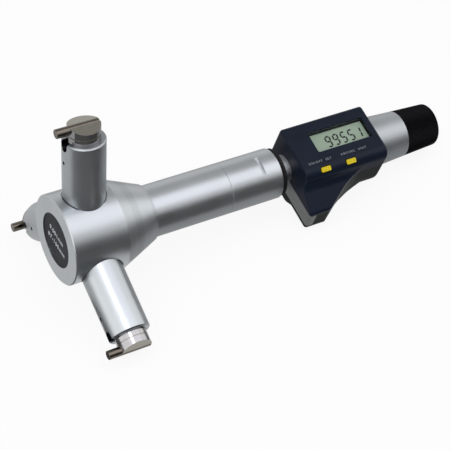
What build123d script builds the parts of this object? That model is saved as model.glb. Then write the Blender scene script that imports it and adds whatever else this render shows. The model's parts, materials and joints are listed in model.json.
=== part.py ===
from build123d import *
from math import atan, cos, degrees, pi, radians, sin, sqrt, tan
import os

# Three-point inside micrometer with a digital display, 87 to 100 mm, set to 99.551 mm.
# Millimetres. Every piece is drawn with the measuring axis along X, from the head at
# the front to the ratchet knob at the back, and the origin where the three arms' axes
# meet that axis. At the end each piece is laid down nose up, as the instrument rests
# on a bench: on the rims of two arms and on the chin of the display unit.

# Measuring range and reading
reading = 99.551
smallest_bore = 87.0
largest_bore = 100.0
screw_pitch = 0.5
cone_slope = 0.5

# Running and seating clearances
fit_gap = 0.02
running_gap = 0.04
loose_gap = 0.3
seat_gap = 0.02
stop_gap = 0.45

# How far a cutting body reaches past what it cuts
overcut = 1.0

# Head
head_radius = 17.7
head_front = -11.8
head_shoulder = 10.3
head_rear = 25.6
head_rear_radius = 11.3
head_front_chamfer = 0.35
cavity_radius = 10.6
cavity_rear = 19.9
badge_radius = 10.85
badge_recess = 0.35
badge_thickness = 0.45
cap_thickness = 1.8

# Arms: sleeve, anvil, shoe, contact pin, guide pin and return spring
arm_angles = (0, 120, -120)
sleeve_radius = 8.15
sleeve_bore = 6.26
sleeve_end = 43.4
sleeve_seat = 12.0
sleeve_chamfer = 0.5
spot_face_radius = 8.5
spot_face_depth = 16.4
collar_bore = 4.55
collar_bottom = 20.0
collar_top = 22.0
notch_width = 4.3
notch_depth = 3.8
guide_pin_radius = 0.75
guide_pin_height = 34.4
guide_pin_recess = 0.6
guide_pin_reach = 1.3
anvil_rod_radius = collar_bore - running_gap
anvil_step = 28.8
roof_fall = 12.0
roof_drop = 0.15
anvil_groove_height = 45.6
anvil_groove_width = 0.35
anvil_groove_depth = 0.25
contact_pin_radius = 1.77
contact_pin_front = -11.2
contact_pin_chamfer = 0.12
shoe_disc_radius = 6.15
shoe_disc_bottom = 11.0
shoe_disc_top = 13.8
shoe_foot_radius = 2.75
shoe_foot_centre = 3.3
shoe_spigot_radius = 2.4
shoe_spigot_length = 5.0
spring_wire = 0.8
arm_spring_turns = 4

# Measuring cone and push rod
cone_radius_at_arms = 7.0
cone_front = -8.3
cone_land = 6.7
cone_back = 7.1
hub_radius = 5.2
hub_back = 10.5
rod_radius = 3.0
rod_seat_depth = 4.0
rod_rear = 78.0
rod_collar_gap = 0.7
rod_collar_front = 50.6
rod_collar_length = 2.6
ball_radius = 2.0
ball_seat_depth = 3.1
rod_spring_turns = 9
rod_spring_wire = 1.1

# Extension tube, adapter sleeve and seal
tube_radius = 10.24
adapter_wall = 2.24
spigot_wall = 1.5
joint_position = 59.3
joint_chamfer = 0.15
front_spigot_length = 5.0
rear_spigot_length = 7.0
bush_length = 12.0
adapter_chamfer = 1.0
spanner_slot_setback = 8.6
spanner_slot_width = 1.5
spanner_slot_depth = 0.9
spanner_slot_angle = 25.0
seal_thickness = 1.16
seal_step = 0.54

# Display unit: a flat face turned towards the reader, with a chin below it. Places on it
# are given along the measuring axis, down the face and out of the face.
unit_turn = 21.0
unit_front = 88.7
unit_rear = 127.7
unit_top = -10.8
unit_bottom = 13.7
face_height = 13.0
back_height = -12.8
crest_radius = 4.0
back_top_radius = 7.5
back_bottom_radius = 10.5
edge_radius = 1.5
end_radius = 1.2
chin_foot_height = 5.96
chin_foot_radius = 4.5
chin_bottom = 23.2
chin_front_height = 0.2
chin_back_height = -10.5
chin_step = (11.5, 8.0)
chin_width = 9.2
chin_corner_radius = 3.5
chin_waist = (110.4, 14.5)
chin_waist_radius = 25.0
chin_tail = (124.0, 12.5)
chin_rise = (105.0, -1.5)
cover_wall = 1.5
parting_front = -1.5
parting_rear = 4.4
parting_bend = (104.0, 117.0)
smallest_rounding = 0.05
chin_rest_setback = 1.0

# Metal frame of the display unit
frame_back = -8.3
flange_thickness = 3.1
frame_gap = 0.1
neck_radius = 5.9
boss_radius = 8.4
boss_reach = 3.8
boss_length = 2.2
neck_length = 4.4
nose_length = 12.3
nose_bore = 5.0
cradle_radius = 10.0
trough_radius = 8.5
bulkhead_thickness = 2.0
ring_length = 9.7
ring_radius = 8.4
cover_boss_root = 0.1

# Window, panel, board, buttons, battery and screws of the display unit
window_centre = (111.6, -0.6)
window_size = (25.8, 9.6)
window_recess = 0.8
window_corner_radius = 0.5
pane_rim = 0.8
pane_thickness = 1.1
panel_size = (28.0, 12.6)
panel_thickness = 1.5
board_size = (32.0, 15.0)
board_centre = (109.6, 1.4)
board_thickness = 1.0
button_places = (97.9, 109.8)
button_size = (4.4, 2.0)
button_lean = 33.0
button_proud = 0.45
button_gap = 0.3
button_travel = 0.5
button_flange_size = (5.8, 2.6)
button_flange_thickness = 0.5
button_flange_corner = 0.4
button_corner = 0.5
button_hole_corner = 0.6
button_edge_radius = 0.25
button_root = 1.45
key_pad_gap = 0.05
key_pad_thickness = 0.8
key_pad_size = (20.0, 2.4)
battery_centre = (96.2, 14.9)
battery_radius = 5.8
battery_thickness = 5.4
battery_front = -1.7
battery_gap = 0.15
battery_edge_radius = 0.4
contact_height_above = 0.25
contact_thickness = 0.3
contact_radius = 4.5
contact_tab = (2.4, 0.3)
battery_cap_radius = 6.6
battery_cap_seat = -9.3
battery_cap_proud = 0.4
cap_seal_thickness = 0.2
coin_slot_size = (9.5, 1.4)
coin_slot_depth = 0.9
back_screw_places = ((105.0, -5.5), (121.5, -5.5), (121.5, 5.5))
back_screw_seat = -11.2
back_screw_end = -7.3
chin_screw_place = (108.5, 12.4)
chin_screw_seat = -9.4
chin_screw_end = 3.6
chin_boss_end = 4.5
cover_boss_radius = 2.2
small_head_radius = 1.6
small_head_height = 1.0
small_shank_radius = 0.8
cross_recess_size = (2.0, 0.45)
cross_recess_depth = 0.5

# Encoder, spindle, nut, stem, thimble and ratchet knob
stator_thickness = 1.4
stator_bore = 4.0
rotor_gap = 0.4
rotor_thickness = 1.0
rotor_radius = 8.0
rotor_hub_radius = 5.2
rotor_shoulder = 0.6
bearing_length = 3.0
spindle_radius = 3.25
spindle_chamfer = 0.5
key_width = 1.2
key_depth = 0.8
thread_start = 115.0
thread_radius = 3.2
spindle_tail_radius = 3.0
spindle_tail_lead = 1.7
spindle_rear = 156.0
nut_length = 13.0
nut_radius = 6.0
nut_slit_width = 0.6
stem_spigot_radius = 6.8
stem_spigot_bore = 4.0
stem_radius = 8.6
stem_thin_radius = 7.0
stem_shoulder = 0.4
stem_rear = 149.0
thimble_front = 128.35
thimble_front_radius = 10.5
thimble_chamfer = 0.3
thimble_rear = 143.3
thimble_rear_radius = 9.6
thimble_neck_radius = 7.85
thimble_wall = 1.6
knob_gap = 0.1
knob_rear = 159.6
knob_rear_radius = 8.77
knob_edge_radius = 1.2
knob_bore_radius = 8.0
knob_end_wall = 2.2
knurl_count = 60
knurl_depth = 0.3
knurl_margin = 0.05
clutch_plate_radius = 6.6
clutch_plate_thickness = 1.6
clutch_crown_thickness = 1.6
clutch_teeth = 12
clutch_tooth_height = 0.6
clutch_tooth_width = 1.2
clutch_tooth_reach = (4.0, 6.4)
clutch_gap = 0.1
clutch_spring_radius = 5.4
clutch_spring_wire = 0.7
clutch_spring_turns = 2
screw_head_radius = 2.6
screw_head_height = 1.4
screw_head_gap = 0.15
screw_slot_size = (4.2, 0.7)
screw_slot_depth = 0.6
screw_shank_radius = 1.5
screw_shank_front = 149.0
tapped_hole_spare = 0.5

# Values that follow from the reading
contact_height = reading / 2
stroke_in = (reading - smallest_bore) / 2
stroke_out = (largest_bore - reading) / 2
contact_pin_height = contact_height - contact_pin_radius
anvil_radius = sleeve_bore - running_gap
cavity_front = head_front + badge_recess + badge_thickness + cap_thickness
feed_back = stroke_in / cone_slope
feed_forward = stroke_out / cone_slope
bush_front = hub_back + feed_back + loose_gap

# Radii that follow from the tube
spigot_radius = tube_radius - adapter_wall
tube_bore = spigot_radius - spigot_wall
rod_collar_radius = tube_bore - rod_collar_gap
seal_outer_radius = tube_radius - seal_step

# Places along the axis that follow from the ends of the display unit
collar_front = unit_front - neck_length
nose_front = collar_front - nose_length
adapter_rear = collar_front - seal_thickness - 2 * seat_gap
spanner_slot_position = adapter_rear - spanner_slot_setback
boss_rear = unit_front + boss_reach
boss_front = boss_rear - boss_length
rotor_front = boss_rear + frame_gap + stator_thickness + rotor_gap
bearing_front = rotor_front + rotor_thickness + rotor_shoulder
bulkhead_front = bearing_front + bearing_length
bulkhead_rear = bulkhead_front + bulkhead_thickness
rotor_hub_rear = bulkhead_front - rotor_gap
ring_front = unit_rear - ring_length
nut_front = unit_rear + loose_gap
nut_rear = nut_front + nut_length
stem_step = nut_rear + stem_shoulder
thimble_step = stem_step + feed_forward + stop_gap
thimble_wall_front = stem_rear + feed_forward + stop_gap
thimble_wall_rear = thimble_wall_front + thimble_wall
spindle_tail_front = thimble_wall_front - spindle_tail_lead
tapped_hole_front = screw_shank_front - tapped_hole_spare
knob_bore_rear = knob_rear - knob_end_wall


def cone_radius(x):
    """Radius of the measuring cone at a place along the axis."""
    return cone_radius_at_arms + cone_slope * x


def profile(*points):
    """Closed outline of (place along the axis, radius) points, to be turned about X."""
    with BuildSketch(Plane.XZ) as outline:
        with BuildLine():
            Polyline(*points, close=True)
        make_face()
    return outline.sketch


def arm_plane(angle):
    """Plane whose Z runs out along an arm, with its X along the measuring axis."""
    outward = (0, -sin(radians(angle)), cos(radians(angle)))
    return Plane(origin=(0, 0, 0), x_dir=(1, 0, 0), z_dir=outward)


def arm_front_plane(angle):
    """Plane seen from the front of an arm, with its Y running out along the arm."""
    arm = arm_plane(angle)
    return Plane(origin=(0, 0, 0), x_dir=-arm.y_dir, z_dir=-arm.x_dir)


def coil(radius, height, turns, wire, plane):
    """Compression spring standing on a plane."""
    path = Helix(pitch=(height - wire) / turns, height=height - wire, radius=radius)
    with BuildPart() as spring:
        with BuildSketch(Plane(origin=path @ 0, z_dir=path % 0)):
            Circle(wire / 2)
        sweep(path=path, is_frenet=True)
    spring.part = plane.offset(wire / 2).location * spring.part
    return spring


# The head: a drum with a conical back, bored for the cone and for the three arms
with BuildPart() as head_body:
    revolve(
        profile(
            (head_front, 0),
            (head_front, head_radius - head_front_chamfer),
            (head_front + head_front_chamfer, head_radius),
            (head_shoulder, head_radius),
            (head_rear, head_rear_radius),
            (head_rear, 0),
        ),
        axis=Axis.X,
    )
    with BuildSketch(Plane.YZ.offset(head_front)):
        Circle(badge_radius + fit_gap)
    extrude(amount=badge_recess + badge_thickness, mode=Mode.SUBTRACT)
    with BuildSketch(Plane.YZ.offset(head_front)):
        Circle(cavity_radius)
    extrude(amount=cavity_rear - head_front, mode=Mode.SUBTRACT)
    with BuildSketch(Plane.YZ.offset(cavity_rear)):
        Circle(spigot_radius)
    extrude(amount=head_rear - cavity_rear, mode=Mode.SUBTRACT)
    for angle in arm_angles:
        with BuildSketch(arm_plane(angle)):
            Circle(sleeve_bore + loose_gap)
        extrude(amount=sleeve_seat, mode=Mode.SUBTRACT)
        with BuildSketch(arm_plane(angle).offset(sleeve_seat)):
            Circle(sleeve_radius + fit_gap)
        extrude(amount=head_radius, mode=Mode.SUBTRACT)
        with BuildSketch(arm_plane(angle).offset(spot_face_depth)):
            Circle(spot_face_radius)
        extrude(amount=head_radius, mode=Mode.SUBTRACT)

# Disc pressed into the head's front bore, and the badge over it
with BuildPart() as front_cap:
    with BuildSketch(Plane.YZ.offset(cavity_front - cap_thickness)):
        Circle(cavity_radius - fit_gap)
    extrude(amount=cap_thickness)

with BuildPart() as front_badge:
    with BuildSketch(Plane.YZ.offset(head_front + badge_recess)):
        Circle(badge_radius)
    extrude(amount=badge_thickness)


def make_sleeve(angle):
    """Arm tube: bored from both ends to a collar, notched at its rim for the contact pin."""
    with BuildPart() as sleeve:
        with BuildSketch(arm_plane(angle).offset(sleeve_seat)):
            Circle(sleeve_radius)
        extrude(amount=sleeve_end - sleeve_seat)
        rim = sleeve.edges().filter_by(GeomType.CIRCLE).sort_by(Axis((0, 0, 0), arm_plane(angle).z_dir))[-1]
        chamfer(rim, length=sleeve_chamfer)
        for low, high, radius in (
            (sleeve_seat, collar_bottom, sleeve_bore),
            (collar_bottom, collar_top, collar_bore),
            (collar_top, sleeve_end, sleeve_bore),
        ):
            with BuildSketch(arm_plane(angle).offset(low)):
                Circle(radius)
            extrude(amount=high - low, mode=Mode.SUBTRACT)
        with BuildSketch(arm_front_plane(angle)):
            with Locations((0, sleeve_end - notch_depth + notch_width / 2)):
                Circle(notch_width / 2)
            with Locations((0, sleeve_end + notch_width / 2)):
                Rectangle(notch_width, 2 * notch_depth)
        extrude(amount=sleeve_radius, mode=Mode.SUBTRACT)
        with BuildSketch(arm_front_plane(angle)):
            with Locations((0, guide_pin_height)):
                Circle(guide_pin_radius + fit_gap / 2)
        extrude(amount=sleeve_radius, mode=Mode.SUBTRACT)
    return sleeve


def make_anvil(angle):
    """Anvil: guided piston with a roof-shaped end, a thinner rod inside the spring, and a keyway."""
    arm = arm_plane(angle)
    front = arm_front_plane(angle)
    with BuildPart() as anvil:
        with BuildSketch(arm.offset(shoe_disc_top)):
            Circle(anvil_rod_radius)
        extrude(amount=anvil_step - shoe_disc_top)
        with BuildSketch(arm.offset(anvil_step)):
            Circle(anvil_radius)
        extrude(amount=contact_height - anvil_step)
        # The roof falls to both sides of a ridge along the measuring axis
        ridge = contact_height - roof_drop
        eaves = ridge - 2 * anvil_radius * tan(radians(roof_fall))
        with BuildSketch(front.offset(-anvil_radius - overcut)):
            with BuildLine():
                Polyline(
                    (0, ridge),
                    (2 * anvil_radius, eaves),
                    (2 * anvil_radius, ridge + overcut),
                    (-2 * anvil_radius, ridge + overcut),
                    (-2 * anvil_radius, eaves),
                    close=True,
                )
            make_face()
        extrude(amount=2 * (anvil_radius + overcut), mode=Mode.SUBTRACT)
        # Groove round the piston
        with BuildSketch(arm.offset(anvil_groove_height)):
            Circle(anvil_radius + overcut)
            Circle(anvil_radius - anvil_groove_depth, mode=Mode.SUBTRACT)
        extrude(amount=anvil_groove_width, mode=Mode.SUBTRACT)
        # Seat of the contact pin along the ridge
        with BuildSketch(front.offset(-anvil_radius - overcut)):
            with Locations((0, contact_pin_height)):
                Circle(contact_pin_radius)
        extrude(amount=2 * (anvil_radius + overcut), mode=Mode.SUBTRACT)
        # Keyway for the guide pin, as long as the stroke
        keyway_low = guide_pin_height - stroke_out - loose_gap
        keyway_high = guide_pin_height + stroke_in + loose_gap
        with BuildSketch(front.offset(anvil_radius - guide_pin_reach - loose_gap)):
            with Locations((0, (keyway_low + keyway_high) / 2)):
                keyway_length = keyway_high - keyway_low + 2 * guide_pin_radius
                SlotOverall(keyway_length, 2 * (guide_pin_radius + running_gap), rotation=90)
        extrude(amount=anvil_radius, mode=Mode.SUBTRACT)
        # Hole for the shoe's spigot
        with BuildSketch(arm.offset(shoe_disc_top)):
            Circle(shoe_spigot_radius + fit_gap)
        extrude(amount=shoe_spigot_length + loose_gap, mode=Mode.SUBTRACT)
    return anvil


def make_shoe(angle):
    """Hardened shoe under an anvil: a disc that holds the spring, with a slanted foot on the cone."""
    arm = arm_plane(angle)
    slope_angle = degrees(atan(cone_slope))
    foot_face = Plane(
        origin=arm.from_local_coords((0, 0, cone_radius_at_arms + seat_gap)),
        x_dir=arm.y_dir,
        z_dir=-sin(radians(slope_angle)) * arm.x_dir + cos(radians(slope_angle)) * arm.z_dir,
    )
    with BuildPart() as shoe:
        with BuildSketch(arm.offset(cone_radius_at_arms - overcut)):
            with Locations((shoe_foot_centre, 0)):
                Circle(shoe_foot_radius)
        extrude(amount=shoe_disc_bottom - cone_radius_at_arms + overcut)
        split(bisect_by=foot_face, keep=Keep.TOP)
        with BuildSketch(arm.offset(shoe_disc_bottom)):
            Circle(shoe_disc_radius)
        extrude(amount=shoe_disc_top - shoe_disc_bottom)
        with BuildSketch(arm.offset(shoe_disc_top)):
            Circle(shoe_spigot_radius)
        extrude(amount=shoe_spigot_length)
    return shoe


def make_contact_pin(angle):
    """Round carbide pin laid along the ridge, standing out in front of the arm.

    Its square back end stays inside the anvil's round, so that it follows into the sleeve.
    """
    pin_back = sqrt(anvil_radius**2 - contact_pin_radius**2) - running_gap
    with BuildPart() as contact_pin:
        with BuildSketch(arm_front_plane(angle).offset(-pin_back)):
            with Locations((0, contact_pin_height)):
                Circle(contact_pin_radius)
        extrude(amount=pin_back - contact_pin_front)
        ends = contact_pin.edges().filter_by(GeomType.CIRCLE)
        chamfer(ends, length=contact_pin_chamfer)
    return contact_pin


def make_guide_pin(angle):
    """Pin through the sleeve's front wall that keeps the anvil from turning."""
    with BuildPart() as guide_pin:
        with BuildSketch(arm_front_plane(angle).offset(anvil_radius - guide_pin_reach)):
            with Locations((0, guide_pin_height)):
                Circle(guide_pin_radius)
        extrude(amount=sleeve_radius - guide_pin_recess - anvil_radius + guide_pin_reach)
    return guide_pin


def make_arm_spring(angle):
    """Spring between the sleeve's collar and the shoe, which draws the anvil in."""
    spring_low = shoe_disc_top + loose_gap
    spring_radius = (collar_bore + sleeve_bore) / 2
    height = collar_bottom - spring_low - running_gap
    return coil(spring_radius, height, arm_spring_turns, spring_wire, arm_plane(angle).offset(spring_low))


# Measuring cone: its taper sets all three anvils
with BuildPart() as measuring_cone:
    revolve(
        profile(
            (cone_front, 0),
            (cone_front, cone_radius(cone_front)),
            (cone_land, cone_radius(cone_land)),
            (cone_back, cone_radius(cone_land)),
            (cone_back, hub_radius),
            (hub_back, hub_radius),
            (hub_back, rod_radius + fit_gap),
            (cone_front + rod_seat_depth, rod_radius + fit_gap),
            (cone_front + rod_seat_depth, 0),
        ),
        axis=Axis.X,
    )

# Push rod, with the collar that its spring bears on and a cup for the ball
with BuildPart() as push_rod:
    rod_front = cone_front + rod_seat_depth + fit_gap
    revolve(
        profile(
            (rod_front, 0),
            (rod_front, rod_radius),
            (rod_collar_front, rod_radius),
            (rod_collar_front, rod_collar_radius),
            (rod_collar_front + rod_collar_length, rod_collar_radius),
            (rod_collar_front + rod_collar_length, rod_radius),
            (rod_rear, rod_radius),
            (rod_rear, ball_radius + running_gap),
            (rod_rear - ball_seat_depth, ball_radius + running_gap),
            (rod_rear - ball_seat_depth, 0),
        ),
        axis=Axis.X,
    )

with BuildPart() as thrust_ball:
    ball_centre = rod_rear - ball_seat_depth + ball_radius + seat_gap
    with BuildSketch(Plane.XZ):
        with BuildLine():
            CenterArc((ball_centre, 0), ball_radius, 0, 180)
            Line((ball_centre - ball_radius, 0), (ball_centre + ball_radius, 0))
        make_face()
    revolve(axis=Axis.X)

# Extension tube between the head and the adapter sleeve
with BuildPart() as extension_tube:
    front_spigot = head_rear - front_spigot_length
    rear_spigot = joint_position + rear_spigot_length
    revolve(
        profile(
            (front_spigot, tube_bore),
            (front_spigot, spigot_radius - fit_gap),
            (head_rear + fit_gap, spigot_radius - fit_gap),
            (head_rear + fit_gap, tube_radius),
            (joint_position - joint_chamfer, tube_radius),
            (joint_position, tube_radius - joint_chamfer),
            (joint_position, spigot_radius - fit_gap),
            (rear_spigot, spigot_radius - fit_gap),
            (rear_spigot, tube_bore),
        ),
        axis=Axis.X,
    )

with BuildPart() as rod_bush:
    with BuildSketch(Plane.YZ.offset(bush_front)):
        Circle(tube_bore - fit_gap)
        Circle(rod_radius + running_gap, mode=Mode.SUBTRACT)
    extrude(amount=bush_length)

# Spring that keeps the push rod back against the spindle
rod_spring_front = bush_front + bush_length + running_gap
rod_spring = coil(
    (rod_radius + tube_bore) / 2,
    rod_collar_front - rod_spring_front - 2 * feed_forward,
    rod_spring_turns,
    rod_spring_wire,
    Plane.YZ.offset(rod_spring_front),
)

# Adapter sleeve with its shallow spanner slot
with BuildPart() as adapter_sleeve:
    revolve(
        profile(
            (joint_position + fit_gap, spigot_radius),
            (joint_position + fit_gap, tube_radius - joint_chamfer),
            (joint_position + fit_gap + joint_chamfer, tube_radius),
            (adapter_rear - adapter_chamfer, tube_radius),
            (adapter_rear, tube_radius - adapter_chamfer),
            (adapter_rear, spigot_radius),
        ),
        axis=Axis.X,
    )
    slot_side = Plane(
        origin=(spanner_slot_position, 0, 0),
        x_dir=(1, 0, 0),
        z_dir=(0, -sin(radians(spanner_slot_angle)), cos(radians(spanner_slot_angle))),
    )
    with BuildSketch(slot_side.offset(tube_radius - spanner_slot_depth)):
        Rectangle(spanner_slot_width, 2 * tube_radius)
    extrude(amount=tube_radius, mode=Mode.SUBTRACT)

with BuildPart() as seal_ring:
    with BuildSketch(Plane.YZ.offset(adapter_rear + seat_gap)):
        Circle(seal_outer_radius)
        Circle(spigot_radius + fit_gap, mode=Mode.SUBTRACT)
    extrude(amount=seal_thickness)


# Planes of the display unit. On the section plane X runs down the face and Y out of it;
# on the plan planes X runs along the measuring axis and Y down the face;
# on the side plane X runs along the measuring axis and Y out of the face.
unit_out = Vector(0, -sin(radians(unit_turn)), cos(radians(unit_turn)))
unit_down = Vector(1, 0, 0).cross(unit_out)
section_plane = Plane(origin=(0, 0, 0), x_dir=unit_down, z_dir=unit_down.cross(unit_out))
side_plane = Plane(origin=(0, 0, 0), x_dir=(1, 0, 0), z_dir=unit_down)
lean_out = cos(radians(button_lean)) * unit_out + sin(radians(button_lean)) * unit_down


def at_height(height):
    """Plan plane of the display unit at a height above the measuring axis."""
    return Plane(origin=(0, 0, 0), x_dir=(1, 0, 0), z_dir=-unit_out).offset(-height)


def across_axis(x):
    """Section plane of the display unit at a place along the measuring axis."""
    return section_plane.offset(-x)


def outline(corners, inset):
    """Rounded outline of (x, y, radius) corners, drawn in by an inset.

    A hollow corner has a negative radius. Corners sharper than the inset stay square.
    """
    with BuildSketch() as shape:
        with BuildLine():
            Polyline(*[(x, y) for x, y, radius in corners], close=True)
        make_face()
        if inset > 0:
            offset(amount=-inset, kind=Kind.INTERSECTION)
        for x, y, radius in corners:
            rounding = radius - inset
            if rounding > smallest_rounding or radius < 0:
                fillet(shape.vertices().sort_by_distance((x, y))[0], radius=abs(rounding))
    return shape.sketch


def body_section(inset):
    """Section of the display unit's body: flat face, round crest and rounded back."""
    corners = (
        (unit_top, face_height, edge_radius),
        (unit_bottom, face_height, crest_radius),
        (unit_bottom, back_height, back_bottom_radius),
        (unit_top, back_height, back_top_radius),
    )
    return outline(corners, inset)


def chin_section(inset):
    """Section of the body with its chin, from the middle of the unit down."""
    corners = (
        (0, face_height, 0),
        (unit_bottom, face_height, crest_radius),
        (unit_bottom, chin_foot_height, -chin_foot_radius),
        (chin_bottom, chin_front_height, edge_radius),
        (chin_bottom, chin_back_height, edge_radius),
        (chin_step[0], chin_back_height, -edge_radius),
        (chin_step[1], back_height, crest_radius),
        (0, back_height, 0),
    )
    return outline(corners, inset)


def chin_plan(inset):
    """Plan of the chin: narrow at the bottom, sweeping out in a long hollow curve."""
    corners = (
        (unit_front, 0, 0),
        (unit_front, chin_bottom, 0),
        (unit_front + chin_width, chin_bottom, chin_corner_radius),
        (chin_waist[0], chin_waist[1], -chin_waist_radius),
        (chin_tail[0], chin_tail[1], 0),
        (chin_tail[0], 0, 0),
    )
    return outline(corners, inset)


def chin_side(inset):
    """Side view of the chin, whose back rises into the round back of the body."""
    corners = (
        (unit_front - overcut, face_height + overcut, 0),
        (unit_front - overcut, back_height - overcut, 0),
        (chin_rise[0], back_height - overcut, 0),
        (unit_rear, chin_rise[1], 0),
        (unit_rear, face_height + overcut, 0),
    )
    return outline(corners, inset)


def unit_form(inset):
    """Solid form of the display unit drawn in by an inset; the full form has rounded ends."""
    with BuildPart() as chin:
        with BuildSketch(across_axis(unit_rear)):
            add(chin_section(inset))
        extrude(amount=unit_rear - unit_front - inset)
        with BuildSketch(at_height(face_height + overcut)):
            add(chin_plan(inset))
        extrude(amount=face_height - back_height + 2 * overcut, mode=Mode.INTERSECT)
        with BuildSketch(side_plane.offset(-overcut)):
            add(chin_side(inset))
        extrude(amount=chin_bottom + 2 * overcut, mode=Mode.INTERSECT)
    with BuildPart() as form:
        with BuildSketch(across_axis(unit_rear - inset)):
            add(body_section(inset))
        extrude(amount=unit_rear - unit_front - 2 * inset)
        add(chin.part)
        if inset == 0:
            fillet(form.faces().sort_by(Axis.X)[0].edges(), radius=end_radius)
            fillet(form.faces().sort_by(Axis.X)[-1].edges(), radius=end_radius)
    return form.part


def slab(low, high, front, rear):
    """Block between two heights of the display unit and two places along the axis."""
    with BuildPart() as block:
        with BuildSketch(at_height(high)):
            with Locations(((front + rear) / 2, 0)):
                Rectangle(rear - front, 4 * chin_bottom)
        extrude(amount=high - low)
    return block.part


def below_parting(gap):
    """Everything behind the curved parting of the two covers, lowered by a gap."""
    low = parting_front - gap
    high = parting_rear - gap
    with BuildPart() as behind:
        with BuildSketch(side_plane.offset(-2 * chin_bottom)):
            with BuildLine():
                Polyline(
                    (parting_bend[0], low),
                    (unit_front - overcut, low),
                    (unit_front - overcut, back_height - overcut),
                    (unit_rear + overcut, back_height - overcut),
                    (unit_rear + overcut, high),
                    (parting_bend[1], high),
                )
                Spline((parting_bend[1], high), (parting_bend[0], low), tangents=[(-1, 0), (-1, 0)])
            make_face()
        extrude(amount=4 * chin_bottom)
    return behind.part


def rod_through(x, length, radius):
    """Plain round bar along the measuring axis."""
    with BuildPart() as bar:
        with BuildSketch(Plane.YZ.offset(x)):
            Circle(radius)
        extrude(amount=length)
    return bar.part


def peg(place, low, high, radius):
    """Round peg square to the face of the display unit."""
    with BuildPart() as round_peg:
        with BuildSketch(at_height(high)):
            with Locations(place):
                Circle(radius)
        extrude(amount=high - low)
    return round_peg.part


outer_form = unit_form(0)
hollow = unit_form(cover_wall)
ring_rear = unit_rear - cover_wall - frame_gap
frame_top = parting_front - fit_gap
flange_rear = unit_front + flange_thickness
neck_hole = rod_through(unit_front - overcut, boss_front - unit_front + overcut, neck_radius + fit_gap)
stem_hole_radius = stem_radius + 2 * frame_gap
stem_hole = rod_through(unit_rear - cover_wall - overcut, cover_wall + 2 * overcut, stem_hole_radius)
chin_boss = peg(chin_screw_place, parting_front, chin_boss_end, cover_boss_radius)
shank_hole_radius = small_shank_radius + fit_gap
head_hole_radius = small_head_radius + frame_gap
chin_screw_hole = peg(chin_screw_place, back_height - overcut, chin_screw_end + loose_gap, shank_hole_radius)


def button_plane(place):
    """Plane on the crest's centre line that looks out along a button."""
    crest = (unit_bottom - crest_radius) * unit_down + (face_height - crest_radius) * unit_out
    return Plane(origin=Vector(place, 0, 0) + crest, x_dir=(1, 0, 0), z_dir=lean_out)


# Front cover: the face with its window and buttons, and the front of the chin
with BuildPart() as front_cover:
    add(outer_form)
    add(hollow, mode=Mode.SUBTRACT)
    add(chin_boss)
    add(below_parting(0), mode=Mode.SUBTRACT)
    add(chin_screw_hole, mode=Mode.SUBTRACT)
    add(neck_hole, mode=Mode.SUBTRACT)
    add(stem_hole, mode=Mode.SUBTRACT)
    with BuildSketch(at_height(face_height)):
        with Locations(window_centre):
            RectangleRounded(*window_size, window_corner_radius)
    extrude(amount=cover_wall + overcut, mode=Mode.SUBTRACT)
    with BuildSketch(at_height(face_height - window_recess)):
        with Locations(window_centre):
            Rectangle(window_size[0] + 2 * pane_rim, window_size[1] + 2 * pane_rim)
    extrude(amount=cover_wall, mode=Mode.SUBTRACT)
    for place in button_places:
        with BuildSketch(button_plane(place).offset(button_root)):
            hole_size = (button_size[0] + 2 * button_gap, button_size[1] + 2 * button_gap)
            RectangleRounded(*hole_size, button_hole_corner)
        extrude(amount=crest_radius, mode=Mode.SUBTRACT)


def make_button(place):
    """Push button with a flange inside the cover, standing a little proud of the crest."""
    root = button_plane(place).offset(button_root)
    with BuildPart() as button:
        with BuildSketch(root):
            RectangleRounded(*button_flange_size, button_flange_corner)
        extrude(amount=button_flange_thickness)
        with BuildSketch(root):
            RectangleRounded(*button_size, button_corner)
        extrude(amount=crest_radius + button_proud - button_root)
        fillet(button.faces().sort_by(Axis((0, 0, 0), lean_out))[-1].edges(), radius=button_edge_radius)
    return button


# Rubber pad that the buttons press on
with BuildPart() as key_pad:
    pad_plane = button_plane(sum(button_places) / 2)
    pad_top = button_root - button_travel - key_pad_gap
    with BuildSketch(pad_plane.offset(pad_top - key_pad_thickness)):
        Rectangle(*key_pad_size)
    extrude(amount=key_pad_thickness)

# Pane, display panel and circuit board, stacked behind the window
pane_front = face_height - window_recess - fit_gap
panel_front = pane_front - pane_thickness - fit_gap
board_front = panel_front - panel_thickness - fit_gap
board_back = board_front - board_thickness

with BuildPart() as display_window:
    with BuildSketch(at_height(pane_front)):
        with Locations(window_centre):
            pane_edges = 2 * (pane_rim - fit_gap)
            Rectangle(window_size[0] + pane_edges, window_size[1] + pane_edges)
    extrude(amount=pane_thickness)

with BuildPart() as display_panel:
    with BuildSketch(at_height(panel_front)):
        with Locations(window_centre):
            Rectangle(*panel_size)
    extrude(amount=panel_thickness)

with BuildPart() as circuit_board:
    with BuildSketch(at_height(board_front)):
        with Locations(board_centre):
            Rectangle(*board_size)
    extrude(amount=board_thickness)

# Metal frame: a nose for the adapter sleeve, a neck, a plate with a cradle for the
# encoder, a ring for the stem, and a flange that shows between the covers at the front
frame_plate = unit_form(cover_wall + frame_gap)
plate_slab = slab(frame_back, frame_top, unit_front, unit_rear)
flange_slab = slab(frame_back, frame_top, unit_front - overcut, flange_rear)
cradle_slab = slab(back_height, frame_top, boss_rear, ring_front)

with BuildPart() as frame_flange:
    add(outer_form)
    add(flange_slab, mode=Mode.INTERSECT)

with BuildPart() as frame_cradle:
    add(rod_through(boss_rear, ring_front - boss_rear, cradle_radius))
    add(frame_plate, mode=Mode.INTERSECT)
    add(cradle_slab, mode=Mode.INTERSECT)

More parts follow.
